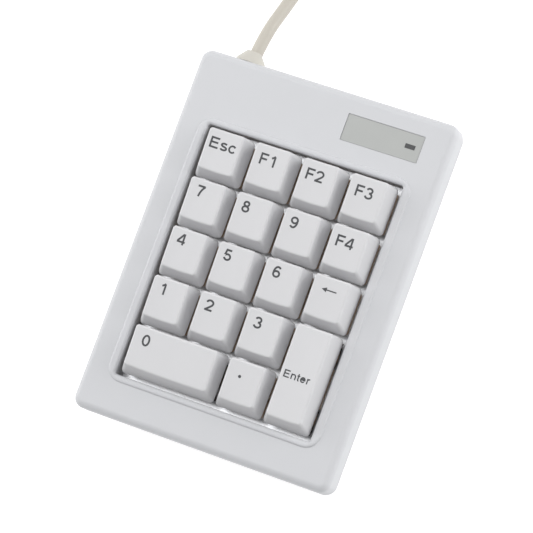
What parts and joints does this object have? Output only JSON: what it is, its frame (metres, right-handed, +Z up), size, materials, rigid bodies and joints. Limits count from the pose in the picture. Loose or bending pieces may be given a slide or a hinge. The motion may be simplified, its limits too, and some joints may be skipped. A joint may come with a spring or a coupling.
{
  "type": "numeric keypad",
  "caption": "Desktop numeric keypad with sculpted keycaps on sprung mechanical switches in a slim rounded case, with a cream cord to a plug",
  "frame": {"origin": "middle of the case's footprint, on the surface that the rubber feet stand on", "axes": "+X to the right as typed on, +Y to the back edge where the cord leaves, +Z up"},
  "size_m": [0.1344, 0.2683, 0.0277],
  "materials": {
    "keycap": "matte, fine grain, very pale cool grey",
    "stem": "satin brown",
    "stabilizer": "satin tan",
    "wire_steel": "bright drawn wire",
    "switch_lower": "satin tan",
    "switch_upper": "satin tan",
    "spring_steel": "bright",
    "contact_metal": "tinned",
    "plate_steel": "bright brushed",
    "top_case": "fine texture, pale cool grey",
    "bottom_case": "fine texture, pale cool grey",
    "badge": "satin grey-green",
    "led_window": "smoked",
    "screw_steel": "zinc plated",
    "rubber": "matte",
    "circuit_board": "solder resist green",
    "component": "matte black",
    "led": "diffused, pale green",
    "cord_boot": "satin cream",
    "cord": "satin cream",
    "plug_grip": "satin cream",
    "plug_metal": "nickel plated"
  },
  "bodies": {
    "case": {"top_case": "top_case", "bottom_case": "bottom_case", "name_badge": "badge", "led_window": "led_window", "case_screws": "screw_steel", "rubber_feet": "rubber", "switch_plate": "plate_steel", "circuit_board": "circuit_board", "board_components": "component", "status_led": "led", "switch_lower_housings": "switch_lower", "switch_upper_housings": "switch_upper", "switch_springs": "spring_steel", "switch_contacts": "contact_metal", "stabilizer_housings": "stabilizer", "strain_relief": "cord_boot", "usb_cord": "cord", "usb_cord_coil": "cord", "usb_plug_grip": "plug_grip", "usb_plug_shell": "plug_metal"},
    "esc_key": {"key_esc": "keycap", "stem_esc": "stem"},
    "f1_key": {"key_f1": "keycap", "stem_f1": "stem"},
    "f2_key": {"key_f2": "keycap", "stem_f2": "stem"},
    "f3_key": {"key_f3": "keycap", "stem_f3": "stem"},
    "7_key": {"key_7": "keycap", "stem_7": "stem"},
    "8_key": {"key_8": "keycap", "stem_8": "stem"},
    "9_key": {"key_9": "keycap", "stem_9": "stem"},
    "f4_key": {"key_f4": "keycap", "stem_f4": "stem"},
    "4_key": {"key_4": "keycap", "stem_4": "stem"},
    "5_key": {"key_5": "keycap", "stem_5": "stem"},
    "6_key": {"key_6": "keycap", "stem_6": "stem"},
    "backspace_key": {"key_backspace": "keycap", "stem_backspace": "stem"},
    "1_key": {"key_1": "keycap", "stem_1": "stem"},
    "2_key": {"key_2": "keycap", "stem_2": "stem"},
    "3_key": {"key_3": "keycap", "stem_3": "stem"},
    "enter_key": {"key_enter": "keycap", "stem_enter": "stem", "stabilizer_inserts_enter": "stabilizer"},
    "0_key": {"key_0": "keycap", "stem_0": "stem", "stabilizer_inserts_zero": "stabilizer"},
    "decimal_key": {"key_decimal": "keycap", "stem_decimal": "stem"},
    "zero_wire": {"stabilizer_wire_zero": "wire_steel"},
    "enter_wire": {"stabilizer_wire_enter": "wire_steel"}
  },
  "joints": [
    {"name": "press_esc", "type": "slide", "parent": "case", "child": "esc_key", "axis": [0, 0, -1], "range_m": [0, 0.004], "stiffness_N_per_m": 75, "springref_m": -0.004, "deforming": ["switch_springs"]},
    {"name": "press_f1", "type": "slide", "parent": "case", "child": "f1_key", "axis": [0, 0, -1], "range_m": [0, 0.004], "stiffness_N_per_m": 75, "springref_m": -0.004, "deforming": ["switch_springs"]},
    {"name": "press_f2", "type": "slide", "parent": "case", "child": "f2_key", "axis": [0, 0, -1], "range_m": [0, 0.004], "stiffness_N_per_m": 75, "springref_m": -0.004, "deforming": ["switch_springs"]},
    {"name": "press_f3", "type": "slide", "parent": "case", "child": "f3_key", "axis": [0, 0, -1], "range_m": [0, 0.004], "stiffness_N_per_m": 75, "springref_m": -0.004, "deforming": ["switch_springs"]},
    {"name": "press_7", "type": "slide", "parent": "case", "child": "7_key", "axis": [0, 0, -1], "range_m": [0, 0.004], "stiffness_N_per_m": 75, "springref_m": -0.004, "deforming": ["switch_springs"]},
    {"name": "press_8", "type": "slide", "parent": "case", "child": "8_key", "axis": [0, 0, -1], "range_m": [0, 0.004], "stiffness_N_per_m": 75, "springref_m": -0.004, "deforming": ["switch_springs"]},
    {"name": "press_9", "type": "slide", "parent": "case", "child": "9_key", "axis": [0, 0, -1], "range_m": [0, 0.004], "stiffness_N_per_m": 75, "springref_m": -0.004, "deforming": ["switch_springs"]},
    {"name": "press_f4", "type": "slide", "parent": "case", "child": "f4_key", "axis": [0, 0, -1], "range_m": [0, 0.004], "stiffness_N_per_m": 75, "springref_m": -0.004, "deforming": ["switch_springs"]},
    {"name": "press_4", "type": "slide", "parent": "case", "child": "4_key", "axis": [0, 0, -1], "range_m": [0, 0.004], "stiffness_N_per_m": 75, "springref_m": -0.004, "deforming": ["switch_springs"]},
    {"name": "press_5", "type": "slide", "parent": "case", "child": "5_key", "axis": [0, 0, -1], "range_m": [0, 0.004], "stiffness_N_per_m": 75, "springref_m": -0.004, "deforming": ["switch_springs"]},
    {"name": "press_6", "type": "slide", "parent": "case", "child": "6_key", "axis": [0, 0, -1], "range_m": [0, 0.004], "stiffness_N_per_m": 75, "springref_m": -0.004, "deforming": ["switch_springs"]},
    {"name": "press_backspace", "type": "slide", "parent": "case", "child": "backspace_key", "axis": [0, 0, -1], "range_m": [0, 0.004], "stiffness_N_per_m": 75, "springref_m": -0.004, "deforming": ["switch_springs"]},
    {"name": "press_1", "type": "slide", "parent": "case", "child": "1_key", "axis": [0, 0, -1], "range_m": [0, 0.004], "stiffness_N_per_m": 75, "springref_m": -0.004, "deforming": ["switch_springs"]},
    {"name": "press_2", "type": "slide", "parent": "case", "child": "2_key", "axis": [0, 0, -1], "range_m": [0, 0.004], "stiffness_N_per_m": 75, "springref_m": -0.004, "deforming": ["switch_springs"]},
    {"name": "press_3", "type": "slide", "parent": "case", "child": "3_key", "axis": [0, 0, -1], "range_m": [0, 0.004], "stiffness_N_per_m": 75, "springref_m": -0.004, "deforming": ["switch_springs"]},
    {"name": "press_enter", "type": "slide", "parent": "case", "child": "enter_key", "axis": [0, 0, -1], "range_m": [0, 0.004], "stiffness_N_per_m": 75, "springref_m": -0.004, "deforming": ["switch_springs"]},
    {"name": "press_0", "type": "slide", "parent": "case", "child": "0_key", "axis": [0, 0, -1], "range_m": [0, 0.004], "stiffness_N_per_m": 75, "springref_m": -0.004, "deforming": ["switch_springs"]},
    {"name": "press_decimal", "type": "slide", "parent": "case", "child": "decimal_key", "axis": [0, 0, -1], "range_m": [0, 0.004], "stiffness_N_per_m": 75, "springref_m": -0.004, "deforming": ["switch_springs"]},
    {"name": "zero_wire_turn", "type": "hinge", "parent": "case", "child": "zero_wire", "pos_m": [-0.01905, -0.05215, 0.0107], "axis": [1, 0, 0], "range_deg": [-28, 0]},
    {"name": "enter_wire_turn", "type": "hinge", "parent": "case", "child": "enter_wire", "pos_m": [0.03717, -0.03402, 0.0107], "axis": [0, 1, 0], "range_deg": [-28, 0]}
  ],
  "couplings": [
    {"joint": "zero_wire_turn", "follows": "press_0", "rad_per_m": -121.74},
    {"joint": "enter_wire_turn", "follows": "press_enter", "rad_per_m": -121.74}
  ]
}
